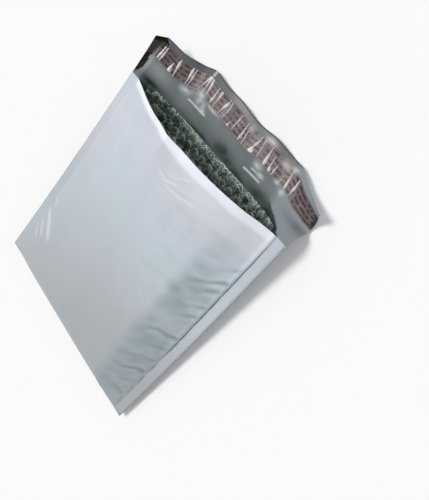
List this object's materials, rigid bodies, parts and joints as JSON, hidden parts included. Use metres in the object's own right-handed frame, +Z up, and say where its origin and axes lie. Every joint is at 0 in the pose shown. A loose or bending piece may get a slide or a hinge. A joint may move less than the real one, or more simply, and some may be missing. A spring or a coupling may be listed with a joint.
{
  "type": "bubble mailer",
  "caption": "Padded mailing bag in white plastic film, open and empty, with a bubble film lining and a flap that carries a glue band under a wrinkled release film.",
  "frame": {"origin": "On the floor under the middle of the bag's back, halfway between the bottom fold and the mouth.", "axes": "+X across the bag, +Y from the bottom fold to the mouth and the flap, +Z up from the floor to the front panel."},
  "size_m": [0.184, 0.2302, 0.0379],
  "materials": {
    "white_film": "pearly satin film, pale blue grey outside and grey inside",
    "bubble_film": "glossy, see-through",
    "glue": "tacky",
    "release_film": "glossy, wrinkled, with rows of plain dashes"
  },
  "bodies": {
    "root": {"outer_film": "white_film", "bubble_liner": "bubble_film", "adhesive_strip": "glue", "release_liner": "release_film"}
  },
  "joints": []
}
